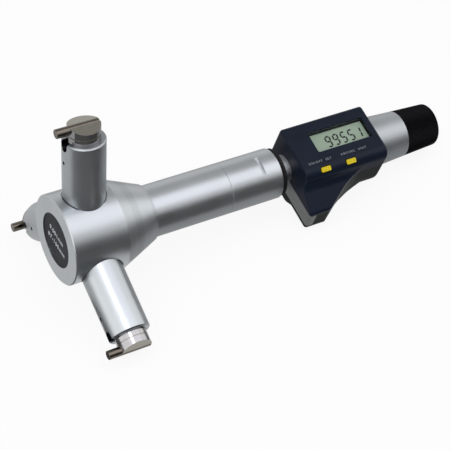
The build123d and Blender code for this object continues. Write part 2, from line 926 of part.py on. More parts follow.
with BuildPart() as unit_frame:
    add(frame_plate)
    add(plate_slab, mode=Mode.INTERSECT)
    add(frame_flange.part)
    add(frame_cradle.part)
    add(rod_through(boss_rear, ring_front - boss_rear, trough_radius), mode=Mode.SUBTRACT)
    add(rod_through(ring_front, ring_rear - ring_front, ring_radius))
    add(rod_through(bulkhead_front, bulkhead_rear - bulkhead_front, trough_radius))
    add(rod_through(boss_front, boss_rear - boss_front, boss_radius))
    add(rod_through(collar_front, boss_rear - collar_front, neck_radius))
    add(rod_through(nose_front, collar_front - nose_front, spigot_radius - fit_gap))
    add(rod_through(nose_front, collar_front - nose_front, nose_bore), mode=Mode.SUBTRACT)
    add(rod_through(collar_front, ring_front - collar_front, spindle_radius + running_gap), mode=Mode.SUBTRACT)
    add(rod_through(ring_front, unit_rear - ring_front, stem_spigot_radius + fit_gap), mode=Mode.SUBTRACT)
    add(peg(battery_centre, back_height, frame_top, battery_radius + battery_gap), mode=Mode.SUBTRACT)
    add(chin_screw_hole, mode=Mode.SUBTRACT)
    for place in back_screw_places:
        add(peg(place, back_height, back_screw_end + loose_gap, shank_hole_radius), mode=Mode.SUBTRACT)

# Rear cover: the back of the unit, cut back at the front end for the frame's flange
flange_room = slab(frame_back - fit_gap, face_height, unit_front - overcut, flange_rear + fit_gap)
cradle_room = rod_through(boss_rear, ring_front - boss_rear, cradle_radius + fit_gap)

with BuildPart() as rear_cover:
    add(outer_form)
    add(hollow, mode=Mode.SUBTRACT)
    add(below_parting(fit_gap), mode=Mode.INTERSECT)
    add(flange_room, mode=Mode.SUBTRACT)
    add(stem_hole, mode=Mode.SUBTRACT)
    for place in back_screw_places:
        add(peg(place, back_height + cover_wall - cover_boss_root, frame_back - fit_gap, cover_boss_radius))
        add(peg(place, back_height - overcut, back_screw_seat, head_hole_radius), mode=Mode.SUBTRACT)
        add(peg(place, back_screw_seat - overcut, frame_back + overcut, shank_hole_radius), mode=Mode.SUBTRACT)
    add(cradle_room, mode=Mode.SUBTRACT)
    chin_boss_back = chin_back_height + cover_wall - cover_boss_root
    add(peg(chin_screw_place, chin_boss_back, frame_back - fit_gap, cover_boss_radius))
    add(peg(chin_screw_place, back_height, chin_screw_seat, head_hole_radius), mode=Mode.SUBTRACT)
    add(chin_screw_hole, mode=Mode.SUBTRACT)
    cap_room = battery_cap_radius + frame_gap
    cell_room = battery_radius + battery_gap
    add(peg(battery_centre, back_height, battery_cap_seat, cap_room), mode=Mode.SUBTRACT)
    add(peg(battery_centre, battery_cap_seat - overcut, frame_back, cell_room), mode=Mode.SUBTRACT)

# Button cell, the contact strip over it, and its cap with a flat seal
with BuildPart() as battery:
    add(peg(battery_centre, battery_front - battery_thickness, battery_front, battery_radius))
    fillet(battery.edges().filter_by(GeomType.CIRCLE), radius=battery_edge_radius)

contact_low = battery_front + contact_height_above
contact_high = contact_low + contact_thickness
tab_place = board_centre[1] + board_size[1] / 2 - contact_tab[1] / 2

with BuildPart() as battery_contact:
    with BuildSketch(at_height(contact_high)):
        with Locations(battery_centre):
            Circle(contact_radius)
        with Locations((battery_centre[0], (tab_place - contact_tab[1] / 2 + battery_centre[1]) / 2)):
            Rectangle(contact_tab[0], battery_centre[1] - tab_place + contact_tab[1] / 2)
    extrude(amount=contact_thickness)
    with BuildSketch(at_height(board_back - fit_gap)):
        with Locations((battery_centre[0], tab_place)):
            Rectangle(*contact_tab)
    extrude(amount=board_back - fit_gap - contact_low)

with BuildPart() as battery_cap:
    cap_seal_back = battery_cap_seat - cap_seal_thickness - 2 * seat_gap
    cap_outside = chin_back_height - battery_cap_proud
    add(peg(battery_centre, cap_outside, cap_seal_back, battery_cap_radius))
    add(peg(battery_centre, cap_seal_back, battery_front - battery_thickness - seat_gap, battery_radius))
    with BuildSketch(at_height(cap_outside + coin_slot_depth)):
        with Locations(battery_centre):
            SlotOverall(*coin_slot_size)
    extrude(amount=coin_slot_depth, mode=Mode.SUBTRACT)

with BuildPart() as cap_seal:
    with BuildSketch(at_height(battery_cap_seat - seat_gap)):
        with Locations(battery_centre):
            Circle(battery_cap_radius)
            Circle(battery_radius + running_gap, mode=Mode.SUBTRACT)
    extrude(amount=cap_seal_thickness)


def small_screw(place, seat, end):
    """Cheese-head screw with a cross recess, put in from the back of the unit."""
    head_back = seat - small_head_height
    with BuildPart() as screw:
        add(peg(place, head_back, seat, small_head_radius))
        add(peg(place, seat, end, small_shank_radius))
        with BuildSketch(at_height(head_back + cross_recess_depth)):
            with Locations(place):
                Rectangle(*cross_recess_size)
                Rectangle(*cross_recess_size, rotation=90)
        extrude(amount=cross_recess_depth, mode=Mode.SUBTRACT)
    return screw.part


# Screws from the back: three short ones into the frame, a long one into the front cover
with BuildPart() as cover_screws:
    for place in back_screw_places:
        add(small_screw(place, back_screw_seat, back_screw_end))
    add(small_screw(chin_screw_place, chin_screw_seat, chin_screw_end))

# Encoder: fixed stator, rotor keyed to the spindle, and the rotor's bearing
with BuildPart() as encoder_stator:
    with BuildSketch(Plane.YZ.offset(boss_rear + frame_gap)):
        Circle(trough_radius - frame_gap)
        Circle(stator_bore, mode=Mode.SUBTRACT)
    extrude(amount=stator_thickness)

with BuildPart() as encoder_rotor:
    rotor_bore = spindle_radius + running_gap
    revolve(
        profile(
            (rotor_front, rotor_bore),
            (rotor_front, rotor_radius),
            (rotor_front + rotor_thickness, rotor_radius),
            (rotor_front + rotor_thickness, rotor_hub_radius),
            (rotor_hub_rear, rotor_hub_radius),
            (rotor_hub_rear, rotor_bore),
        ),
        axis=Axis.X,
    )
    tooth_low = spindle_radius - key_depth + running_gap
    tooth_high = rotor_bore + loose_gap
    with BuildSketch(Plane.YZ.offset(rotor_front)):
        with Locations((0, (tooth_low + tooth_high) / 2)):
            Rectangle(key_width - 2 * running_gap, tooth_high - tooth_low)
    extrude(amount=rotor_hub_rear - rotor_front)

with BuildPart() as rotor_bearing:
    with BuildSketch(Plane.YZ.offset(bearing_front)):
        Circle(trough_radius - fit_gap)
        Circle(rotor_hub_radius + running_gap, mode=Mode.SUBTRACT)
    extrude(amount=bulkhead_front - seat_gap - bearing_front)

# Spindle: plain front with a key groove, threaded back, and a tail for the thimble
with BuildPart() as spindle:
    spindle_front = ball_centre + ball_radius + seat_gap
    revolve(
        profile(
            (spindle_front, 0),
            (spindle_front, spindle_radius - spindle_chamfer),
            (spindle_front + spindle_chamfer, spindle_radius),
            (thread_start, spindle_radius),
            (thread_start, thread_radius),
            (spindle_tail_front, thread_radius),
            (spindle_tail_front, spindle_tail_radius),
            (spindle_rear, spindle_tail_radius),
            (spindle_rear, screw_shank_radius + fit_gap),
            (tapped_hole_front, screw_shank_radius + fit_gap),
            (tapped_hole_front, 0),
        ),
        axis=Axis.X,
    )
    key_groove_front = rotor_front - feed_back - loose_gap
    key_groove_rear = rotor_hub_rear + feed_forward + loose_gap
    with BuildSketch(Plane.YZ.offset(key_groove_front)):
        with Locations((0, spindle_radius)):
            Rectangle(key_width, 2 * key_depth)
    extrude(amount=key_groove_rear - key_groove_front, mode=Mode.SUBTRACT)

with BuildPart() as spindle_nut:
    with BuildSketch(Plane.YZ.offset(nut_front)):
        Circle(nut_radius)
        Circle(thread_radius + running_gap, mode=Mode.SUBTRACT)
    extrude(amount=nut_rear - nut_front)
    # Slits that let the nut be closed up on the thread
    with BuildSketch(Plane.YZ.offset(nut_rear)):
        with PolarLocations(nut_radius, 3):
            Rectangle(nut_radius, nut_slit_width)
    extrude(amount=-(nut_rear - nut_front) / 2, mode=Mode.SUBTRACT)

# Stem: a tube held in the frame's ring, over which the thimble runs
with BuildPart() as stem:
    nut_bore = nut_radius + fit_gap
    nut_seat = nut_front - seat_gap
    revolve(
        profile(
            (ring_front + seat_gap, stem_spigot_bore),
            (ring_front + seat_gap, stem_spigot_radius),
            (ring_rear + seat_gap, stem_spigot_radius),
            (ring_rear + seat_gap, stem_radius),
            (stem_step, stem_radius),
            (stem_step, stem_thin_radius),
            (stem_rear, stem_thin_radius),
            (stem_rear, nut_bore),
            (nut_seat, nut_bore),
            (nut_seat, stem_spigot_bore),
        ),
        axis=Axis.X,
    )

# Thimble: a tapered skirt over the stem and a neck inside the ratchet knob
with BuildPart() as thimble:
    skirt_bore = stem_radius + running_gap
    neck_bore = stem_thin_radius + running_gap
    tail_bore = spindle_tail_radius + fit_gap
    revolve(
        profile(
            (thimble_front, skirt_bore),
            (thimble_front, thimble_front_radius - thimble_chamfer),
            (thimble_front + thimble_chamfer, thimble_front_radius),
            (thimble_rear, thimble_rear_radius),
            (thimble_rear, thimble_neck_radius),
            (thimble_wall_rear, thimble_neck_radius),
            (thimble_wall_rear, tail_bore),
            (thimble_wall_front, tail_bore),
            (thimble_wall_front, neck_bore),
            (thimble_step, neck_bore),
            (thimble_step, skirt_bore),
        ),
        axis=Axis.X,
    )


def knurl_section(x, radius):
    """Star-shaped section of the knurled knob."""
    tips = []
    for step in range(2 * knurl_count):
        reach = radius - knurl_depth * (step % 2)
        turn = pi * step / knurl_count
        tips.append((reach * cos(turn), reach * sin(turn)))
    with BuildSketch(Plane.YZ.offset(x)) as star:
        with BuildLine():
            Polyline(*tips, close=True)
        make_face()
    return star.sketch


# Ratchet knob: a knurled, slightly tapered cap with a rounded end
knob_front = thimble_rear + knob_gap
knurl_front = knurl_section(knob_front, thimble_rear_radius)
knurl_rear = knurl_section(knob_rear, knob_rear_radius)

with BuildPart() as ratchet_knob:
    loft(sections=[knurl_front, knurl_rear], ruled=True)
    with BuildSketch(Plane.XZ) as knob_outline:
        with BuildLine():
            Polyline(
                (knob_front, 0),
                (knob_front, thimble_rear_radius + overcut),
                (knob_rear, knob_rear_radius + knurl_margin),
                (knob_rear, 0),
                close=True,
            )
        make_face()
        rim = knob_outline.vertices().sort_by_distance((knob_rear, knob_rear_radius))[0]
        fillet(rim, radius=knob_edge_radius)
    revolve(axis=Axis.X, mode=Mode.INTERSECT)
    screw_hole = screw_shank_radius + knob_gap
    head_hole = screw_head_radius + screw_head_gap
    head_seat = knob_rear - screw_head_height - 2 * knob_gap
    revolve(
        profile(
            (knob_front, 0),
            (knob_front, knob_bore_radius),
            (knob_bore_rear, knob_bore_radius),
            (knob_bore_rear, screw_hole),
            (head_seat, screw_hole),
            (head_seat, head_hole),
            (knob_rear, head_hole),
            (knob_rear, 0),
        ),
        axis=Axis.X,
        mode=Mode.SUBTRACT,
    )


def clutch_ridges(x, gap):
    """Ring of radial V-shaped ridges that point forward from a place, made fuller by a gap."""
    inner = clutch_tooth_reach[0] - gap
    half_width = clutch_tooth_width / 2 + gap
    with BuildPart() as ridges:
        for number in range(clutch_teeth):
            turn = radians(360 * number / clutch_teeth)
            across = Plane(origin=(x, 0, 0), x_dir=(1, 0, 0), z_dir=(0, cos(turn), sin(turn)))
            with BuildSketch(across.offset(inner)):
                with BuildLine():
                    Polyline((0, -half_width), (0, half_width), (-clutch_tooth_height - gap, 0), close=True)
                make_face()
            extrude(amount=clutch_tooth_reach[1] + 2 * gap - inner)
    return ridges.part


# Ratchet: a plate on the spindle's tail, a crown in the knob, and a spring between them
plate_front = thimble_wall_rear + 2 * seat_gap
plate_rear = plate_front + clutch_plate_thickness
crown_front = plate_rear + clutch_gap
crown_rear = crown_front + clutch_crown_thickness
plate_grooves = clutch_ridges(crown_front, clutch_gap)
crown_ridges = clutch_ridges(crown_front, 0)

with BuildPart() as clutch_plate:
    with BuildSketch(Plane.YZ.offset(plate_front)):
        Circle(clutch_plate_radius)
        Circle(spindle_tail_radius + fit_gap, mode=Mode.SUBTRACT)
    extrude(amount=clutch_plate_thickness)
    add(plate_grooves, mode=Mode.SUBTRACT)

with BuildPart() as clutch_crown:
    with BuildSketch(Plane.YZ.offset(crown_front)):
        Circle(knob_bore_radius - running_gap)
        Circle(spindle_tail_radius + knob_gap, mode=Mode.SUBTRACT)
    extrude(amount=clutch_crown_thickness)
    add(crown_ridges)

clutch_spring = coil(
    clutch_spring_radius,
    knob_bore_rear - crown_rear - 2 * running_gap,
    clutch_spring_turns,
    clutch_spring_wire,
    Plane.YZ.offset(crown_rear + running_gap),
)

with BuildPart() as ratchet_screw:
    screw_head_front = head_seat + seat_gap
    with BuildSketch(Plane.YZ.offset(screw_shank_front)):
        Circle(screw_shank_radius)
    extrude(amount=screw_head_front - screw_shank_front)
    with BuildSketch(Plane.YZ.offset(screw_head_front)):
        Circle(screw_head_radius)
    extrude(amount=screw_head_height)
    with BuildSketch(Plane.YZ.offset(screw_head_front + screw_head_height)):
        Rectangle(*screw_slot_size)
    extrude(amount=-screw_slot_depth, mode=Mode.SUBTRACT)

# The instrument rests on the eaves of the two lower anvils and on the chin's back edge
eaves_height = contact_height - roof_drop - anvil_radius * tan(radians(roof_fall))
head_drop = eaves_height * cos(radians(60)) + anvil_radius * sin(radians(60))
chin_drop = (
    (chin_bottom - edge_radius) * sin(radians(unit_turn))
    - (chin_back_height + edge_radius) * cos(radians(unit_turn))
    + edge_radius
)
rest_angle = degrees(atan((head_drop - chin_drop) / (unit_front + chin_width - chin_rest_setback)))
at_rest = Location((0, 0, 0), (0, rest_angle, 0))


def finish(name, piece):
    """Lay a piece down as the instrument rests, label it and write it out."""
    piece.part = at_rest * piece.part
    piece.part.label = name
    export_step(piece.part, f"parts/{name}.step")


os.makedirs("parts", exist_ok=True)

for number, angle in enumerate(arm_angles, start=1):
    finish(f"arm_sleeve_{number}", make_sleeve(angle))
    finish(f"anvil_{number}", make_anvil(angle))
    finish(f"anvil_shoe_{number}", make_shoe(angle))
    finish(f"contact_pin_{number}", make_contact_pin(angle))
    finish(f"guide_pin_{number}", make_guide_pin(angle))
    finish(f"return_spring_{number}", make_arm_spring(angle))

finish("head_body", head_body)
finish("front_cap", front_cap)
finish("front_badge", front_badge)
finish("measuring_cone", measuring_cone)
finish("push_rod", push_rod)
finish("thrust_ball", thrust_ball)
finish("extension_tube", extension_tube)
finish("rod_bush", rod_bush)
finish("rod_spring", rod_spring)
finish("adapter_sleeve", adapter_sleeve)
finish("seal_ring", seal_ring)
finish("unit_frame", unit_frame)
finish("front_cover", front_cover)
finish("rear_cover", rear_cover)
finish("display_window", display_window)
finish("display_panel", display_panel)
finish("circuit_board", circuit_board)
finish("key_pad", key_pad)
finish("button_left", make_button(button_places[0]))
finish("button_right", make_button(button_places[1]))
finish("battery", battery)
finish("battery_contact", battery_contact)
finish("battery_cap", battery_cap)
finish("cap_seal", cap_seal)
finish("cover_screws", cover_screws)
finish("encoder_stator", encoder_stator)
finish("encoder_rotor", encoder_rotor)
finish("rotor_bearing", rotor_bearing)
finish("spindle", spindle)
finish("spindle_nut", spindle_nut)
finish("stem", stem)
finish("thimble", thimble)
finish("ratchet_knob", ratchet_knob)
finish("clutch_plate", clutch_plate)
finish("clutch_crown", clutch_crown)
finish("clutch_spring", clutch_spring)
finish("ratchet_screw", ratchet_screw)
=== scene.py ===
import json
from math import cos, pi, radians, sin, tan

import bpy
from mathutils import Matrix, Quaternion, Vector


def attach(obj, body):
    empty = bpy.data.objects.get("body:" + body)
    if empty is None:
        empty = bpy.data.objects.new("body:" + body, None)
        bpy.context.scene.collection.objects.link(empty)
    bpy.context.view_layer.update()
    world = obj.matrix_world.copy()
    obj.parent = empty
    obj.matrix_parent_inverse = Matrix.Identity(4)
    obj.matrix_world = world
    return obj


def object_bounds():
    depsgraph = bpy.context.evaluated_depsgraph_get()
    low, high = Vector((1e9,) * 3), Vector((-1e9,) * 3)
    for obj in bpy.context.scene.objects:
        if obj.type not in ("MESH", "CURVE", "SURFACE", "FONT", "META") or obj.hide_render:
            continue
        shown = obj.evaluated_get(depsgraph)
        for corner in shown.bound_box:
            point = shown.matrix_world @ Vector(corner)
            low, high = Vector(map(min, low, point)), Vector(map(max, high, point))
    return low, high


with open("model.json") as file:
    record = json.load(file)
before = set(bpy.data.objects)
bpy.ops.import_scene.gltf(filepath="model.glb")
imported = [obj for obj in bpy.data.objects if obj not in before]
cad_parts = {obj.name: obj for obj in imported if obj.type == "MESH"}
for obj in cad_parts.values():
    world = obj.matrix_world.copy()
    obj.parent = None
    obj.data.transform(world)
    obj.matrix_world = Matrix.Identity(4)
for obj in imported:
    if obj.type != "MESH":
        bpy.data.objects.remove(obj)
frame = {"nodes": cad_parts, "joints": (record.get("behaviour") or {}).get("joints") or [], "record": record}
cad_low, cad_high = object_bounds()

# An inside micrometer lying nose up on a pale floor. Lengths on the object are in millimetres,
# and MM makes them metres; those of the camera's place, the softbox, the floor and the cards
# are in metres. The measuring axis and the arms are read from the frame's joints.
MM = 0.001
joints = {joint["name"]: joint for joint in frame["joints"]}
axis = -Vector(joints["feed_slide"]["axis"])
side = Vector((0, 1, 0))
crown = axis.cross(side)
arms = [Vector(joints[f"arm_{number}_slide"]["axis"]) for number in (1, 2, 3)]

# Face of the display unit: a direction out of it and one down it, the heights of the face and
# of the panel above the axis, and how far all print stands above what carries it
unit_turn = radians(21)
unit_out = cos(unit_turn) * crown - sin(unit_turn) * side
unit_down = -sin(unit_turn) * crown - cos(unit_turn) * side
face_height = 13.0
panel_height = 11.06
print_lift = 0.006

# Buttons lean down the face, and below the rim of their tops their sides are painted in shade
button_lean = radians(33)
button_top = 17.28
button_rim = 0.25

# Display: five slanted figures, and a dark mask between two rectangles, each given by its
# edges along the axis and down the face
reading = "99551"
first_figure = 105.3
figure_pitch = 3.62
figure_width = 2.0
figure_top = -2.3
figure_bottom = 2.35
figure_slant = radians(6)
slant_pivot = figure_bottom / 2
figure_stroke = 0.78
stroke_gap = 0.07
window_edges = ((98.0, 125.2), (-5.8, 4.6))
visible_edges = ((98.9, 124.2), (-4.75, 4.0))

# Labels by the buttons, at a place down the face: name, words, and both ends along the axis
label_place = 8.1
label_height = 1.0
label_weight = 0.0
labels = (
    ("label_left", "ON/OFF  SET", 91.7, 102.3),
    ("label_right", "ABS/INC  UNIT", 106.8, 119.1),
)

# Lines on the badge, turned with it: name, words, middle to the side and up, and width
badge_front = -11.45
badge_tilt = radians(9.4)
badge_letter_height = 2.0
badge_weight = 0.018
badge_lines = (
    ("badge_resolution", "0.001mm", 0.1, 2.28, 11.2),
    ("badge_range", "87-100mm", 0.23, -2.1, 13.6),
)

# Letter spacings whose widths are measured, to find the one that fills a given width
close_spacing = 1.0
wide_spacing = 1.5

# Satin metal of the head, the arms and the tubes, and tints that multiply a base colour;
# all of these tints but the polished one are painted light or shade
satin = (0.408, 0.43, 0.445)
satin_roughness = 0.35
plain = (1, 1, 1)
# Painted light: the drum's front face is painted brighter
painted_face_light_tint = (1.25, 1.26, 1.25)
# Painted reflection: bands painted darker and lighter across the cone
painted_dark_band = (0.92, 0.92, 0.92)
painted_light_band = (1.12, 1.12, 1.13)
# Painted shade, with some oil, in the bore, notch and holes of each arm tube
bore_shade_and_oil_tint = (0.06, 0.06, 0.065)
# Painted shade: the arm tubes' end faces are painted darker
tube_end_shade_tint = (0.72, 0.72, 0.73)
polished_tint = (1.2, 1.22, 1.46)
# Painted shade, with some oil, on the anvils inside the arm tubes
anvil_shade_and_oil_tint = (0.1, 0.1, 0.1)
# Painted highlight: the unit's neck is painted much brighter
neck_highlight_tint = (3.1, 3.1, 3.2)
# Painted shade on the buttons' sides
button_side_shade_tint = (0.3, 0.28, 0.3)

# Where the tints begin or end: along the axis, along an arm, or as a radius round an arm
drum_front = -11.7
cone_painted_bands = ((14.6, painted_dark_band), (18.1, painted_light_band), (24.3, painted_dark_band))
tube_skin_radius = 8.03
tube_rim = 42.85
tube_end = 42.8
anvil_skin_radius = 6.12
anvil_mouth = 43.3
neck_rear = 88.6

# Values of a pattern between which it carries a look from its one end to its other
noise_low = 0.3
noise_high = 0.7

# Sockets of a Mix node for colours, whose names stand for more than one socket
mix_share, mix_first, mix_second, mix_result = 0, 6, 7, 2

# Camera, as fitted to the photograph
camera_place = Vector((-0.156526, -0.408709, 0.389267))
camera_azimuth = radians(27.891)
camera_drop = radians(41.976)
camera_roll = radians(3.927)
camera_lens = 124.48
camera_sensor = 36.0
camera_near = 0.01

# Softbox overhead, leaning towards the viewer and turned in its own plane, and the world
softbox_lean = radians(20)
softbox_roll = Quaternion((0, 0, 1), radians(-14))
softbox_distance = 1.1
softbox_size = (2.6, 1.0)
softbox_radiance = 1.08
softbox_tint = (0.935, 0.91, 1.0)
world_strength = 0.53

# White floor, and how much of what is seen of it is plain white
floor_level = cad_low.z
floor_half = 4.0
floor_colour = (0.97, 0.97, 0.97, 1)
floor_white_share = 0.9

# Cards that only the metal's reflections see. Those on the floor lie before and behind the
# object: name, edges across the axis, brightness and reach along it
card_radius = 0.35
card_level = floor_level + MM
floor_cards = (
    ("front_card", -0.03, -card_radius, 0.12, (0.02, 0.7)),
    ("tip_card", -0.054, -card_radius, 0.15, (-0.015, 0.02)),
    ("arm_card", -0.004, -card_radius, 0.17, (-0.5, -0.015)),
    ("back_card", 0.4, -0.03, 0.5, (0.02, 0.7)),
    ("side_card", 0.4, -0.004, 0.7, (-0.3, 0.02)),
)

# Cards bent round the object: name, lowest and highest angle in degrees, and brightness
arc_steps = 8
arc_reach = (-0.5, 0.7)
arc_cards = (("dark_card", 0, 21, 0.03), ("ceiling_card", 91, 140, 0.6))

# Bright cards that stand at both ends: name, place, back and low edge, and brightness
end_card_front = -0.45
end_card_top = 0.5
end_cards = (("left_card", -0.42, 0.25, 0.0, 1.8), ("right_card", 0.6, 0.1, 0.04, 1.7))

# Small bright card overhead, which draws the white streak down the lower arm and its anvil
streak_edges = ((-0.36, -0.06), (-0.42, -0.1))
streak_level = 0.9
streak_brightness = 4.8


def in_unit(x, down, out):
    """Point of the display unit, from millimetres along the axis, down the face and out of it."""
    return MM * (x * axis + down * unit_down + out * unit_out)


def tinted(colour, factor):
    """A colour made lighter or darker."""
    return tuple(min(1.0, channel * factor) for channel in colour)


class Nodes:
    """A material's nodes, with short names for the few kinds that are used here."""

    def __init__(self, name, roughness, metallic=0.0):
        self.material = bpy.data.materials.new(name)
        self.material.use_nodes = True
        self.tree = self.material.node_tree
        self.shader = self.tree.nodes["Principled BSDF"]
        self.shader.inputs["Roughness"].default_value = roughness
        self.shader.inputs["Metallic"].default_value = metallic

    def add(self, kind, **values):
        """New node of a kind, with its settings."""
        node = self.tree.nodes.new("ShaderNode" + kind)
        for name, value in values.items():
            setattr(node, name, value)
        return node

    def link(self, source, target):
        """Wire from an output to an input."""
        self.tree.links.new(source, target)

    def places(self):
        """Points of the piece itself, so that a pattern stays on it as it moves."""
        return self.add("TexCoord").outputs["Object"]

    def along(self, direction):
        """Distance along a direction."""
        dot = self.add("VectorMath", operation="DOT_PRODUCT")
        self.link(self.places(), dot.inputs[0])
        dot.inputs[1].default_value = direction
        return dot.outputs["Value"]

    def past(self, direction, place, blend=0.1):
        """Zero before a place in millimetres along a direction, and one after it."""
        return self.ramped(self.along(direction), place, blend)

    def outside(self, direction, radius, blend):
        """Zero inside a radius in millimetres round a line through the origin, and one outside."""
        cross = self.add("VectorMath", operation="CROSS_PRODUCT")
        self.link(self.places(), cross.inputs[0])
        cross.inputs[1].default_value = direction
        length = self.add("VectorMath", operation="LENGTH")
        self.link(cross.outputs["Vector"], length.inputs[0])
        return self.ramped(length.outputs["Value"], radius, blend)

    def ramped(self, value, place, blend):
        """Step from zero to one at a value in millimetres."""
        step = self.add("MapRange")
        step.inputs["From Min"].default_value = (place - blend / 2) * MM
        step.inputs["From Max"].default_value = (place + blend / 2) * MM
        self.link(value, step.inputs["Value"])
        return step.outputs["Result"]

    def either(self, first, second):
        """The larger of two masks."""
        larger = self.add("Math", operation="MAXIMUM")
        self.link(first, larger.inputs[0])
        self.link(second, larger.inputs[1])
        return larger.outputs["Value"]

    def grain(self, size, detail=2.0):
        """Cloudy pattern whose spots have about the given size in millimetres."""
        noise = self.add("TexNoise")
        self.link(self.places(), noise.inputs["Vector"])
        noise.inputs["Scale"].default_value = 1 / (size * MM)
        noise.inputs["Detail"].default_value = detail
        return noise.outputs["Fac"]

    def lines(self, direction, pitch, detail=3.0):
        """Uneven fine lines across a direction, as a turning tool or a grinding wheel leaves."""
        noise = self.add("TexNoise", noise_dimensions="1D")
        self.link(self.along(direction), noise.inputs["W"])
        noise.inputs["Scale"].default_value = 1 / (pitch * MM)
        noise.inputs["Detail"].default_value = detail
        return noise.outputs["Fac"]

    def mixed(self, first, second, share=0.5):
        """Two patterns laid over each other."""
        mix = self.add("Mix", data_type="FLOAT")
        mix.inputs["Factor"].default_value = share
        self.link(first, mix.inputs["A"])
        self.link(second, mix.inputs["B"])
        return mix.outputs["Result"]

    def colour(self, pattern, dark, light):
        """Base colour that a pattern carries from a darker to a lighter value."""
        ramp = self.add("ValToRGB")
        ramp.color_ramp.elements[0].position = noise_low
        ramp.color_ramp.elements[1].position = noise_high
        ramp.color_ramp.elements[0].color = (*dark, 1)
        ramp.color_ramp.elements[1].color = (*light, 1)
        self.link(pattern, ramp.inputs["Fac"])
        self.base = ramp.outputs["Color"]
        self.link(self.base, self.shader.inputs["Base Color"])

    def varied(self, pattern, colour, contrast):
        """Base colour that a pattern carries a share below and above a middle value."""
        self.colour(pattern, tinted(colour, 1 - contrast), tinted(colour, 1 + contrast))

    def shade(self, mask, inside=plain, outside=plain):
        """Multiply the base colour by one tint where a mask is 0 and by another where it is 1."""
        tint = self.add("Mix", data_type="RGBA")
        self.link(mask, tint.inputs[mix_share])
        tint.inputs[mix_first].default_value = (*inside, 1)
        tint.inputs[mix_second].default_value = (*outside, 1)
        product = self.add("Mix", data_type="RGBA", blend_type="MULTIPLY")
        product.inputs[mix_share].default_value = 1.0
        self.link(self.base, product.inputs[mix_first])
        self.link(tint.outputs[mix_result], product.inputs[mix_second])
        self.base = product.outputs[mix_result]
        self.link(self.base, self.shader.inputs["Base Color"])

    def rough(self, pattern, start, end):
        """Roughness that a pattern carries from one value to another."""
        spread = self.add("MapRange")
        spread.inputs["From Min"].default_value = noise_low
        spread.inputs["From Max"].default_value = noise_high
        spread.inputs["To Min"].default_value = start
        spread.inputs["To Max"].default_value = end
        self.link(pattern, spread.inputs["Value"])
        self.link(spread.outputs["Result"], self.shader.inputs["Roughness"])

    def relief(self, pattern, depth):
        """Relief of a depth in millimetres."""
        bump = self.add("Bump")
        bump.inputs["Distance"].default_value = depth * MM
        self.link(pattern, bump.inputs["Height"])
        self.link(bump.outputs["Normal"], self.shader.inputs["Normal"])


def turned(name, line, colour, roughness):
    """Metal with fine turned lines over a satin grain, and a little uneven from handling."""
    make = Nodes(name, roughness, metallic=1.0)
    turned_lines = make.lines(line, pitch=0.25)
    satin_grain = make.grain(size=0.12, detail=3.0)
    handled = make.grain(size=14.0)
    make.varied(make.mixed(turned_lines, handled, share=0.6), colour, contrast=0.06)
    make.rough(make.mixed(satin_grain, handled), roughness - 0.04, roughness + 0.05)
    make.relief(make.mixed(turned_lines, satin_grain, share=0.45), depth=0.0012)
    return make


def ground(name, line, colour, roughness, depth=0.0025, contrast=0.16):
    """Hard steel with grinding lines and a slightly stained surface."""
    make = Nodes(name, roughness, metallic=1.0)
    wheel_lines = make.lines(line, pitch=0.12, detail=5.0)
    stains = make.grain(size=2.2, detail=4.0)
    make.varied(make.mixed(wheel_lines, stains, share=0.55), colour, contrast)
    make.rough(stains, roughness - 0.06, roughness + 0.1)
    make.relief(wheel_lines, depth)
    return make


def cast(name, colour, roughness):
    """Die-cast metal, blasted matt."""
    make = Nodes(name, roughness, metallic=1.0)
    blasted = make.grain(size=0.18, detail=4.0)
    clouds = make.grain(size=6.0)
    make.varied(make.mixed(blasted, clouds), colour, contrast=0.12)
    make.rough(clouds, roughness - 0.05, roughness + 0.06)
    make.relief(blasted, depth=0.008)
    return make


def moulded(name, colour, roughness, specular, texture=0.22, depth=0.006, contrast=0.14):
    """Moulded plastic or rubber with a fine eroded texture and faint handling marks."""
    make = Nodes(name, roughness)
    eroded = make.grain(size=texture, detail=4.0)
    rubbed = make.grain(size=9.0, detail=3.0)
    make.shader.inputs["Specular IOR Level"].default_value = specular
    make.varied(make.mixed(eroded, rubbed, share=0.6), colour, contrast)
    make.rough(rubbed, roughness - 0.06, roughness + 0.07)
    make.relief(eroded, depth)
    return make


def window_pane(name):
    """Clear pane: mostly see-through, with the gloss of its polished face."""
    make = Nodes(name, roughness=0.08)
    make.shader.inputs["Alpha"].default_value = 0.07
    make.shader.inputs["Specular IOR Level"].default_value = 0.5
    smears = make.grain(size=7.0, detail=3.0)
    make.colour(smears, (0.02, 0.022, 0.021), (0.035, 0.037, 0.036))
    make.rough(smears, 0.05, 0.16)
    return make


def crystal_panel(name):
    """Reflective grey-green display panel with a very fine grain."""
    make = Nodes(name, roughness=0.5)
    fine = make.grain(size=0.1)
    broad = make.grain(size=16.0)
    make.colour(make.mixed(fine, broad), (0.36, 0.485, 0.36), (0.44, 0.57, 0.43))
    make.relief(fine, depth=0.002)
    return make


def board_lacquer(name):
    """Green lacquer over copper tracks."""
    make = Nodes(name, roughness=0.32)
    tracks = make.lines(axis, pitch=1.4, detail=0.0)
    weave = make.grain(size=0.3)
    make.colour(make.mixed(tracks, weave, share=0.3), (0.02, 0.13, 0.05), (0.06, 0.24, 0.09))
    make.relief(tracks, depth=0.02)
    return make


def letter_ink(name, colour):
    """Screen-printed ink, a little thin in places."""
    make = Nodes(name, roughness=0.55)
    thin = make.grain(size=0.35, detail=3.0)
    make.colour(thin, tinted(colour, 0.8), colour)
    make.relief(thin, depth=0.003)
    return make.material


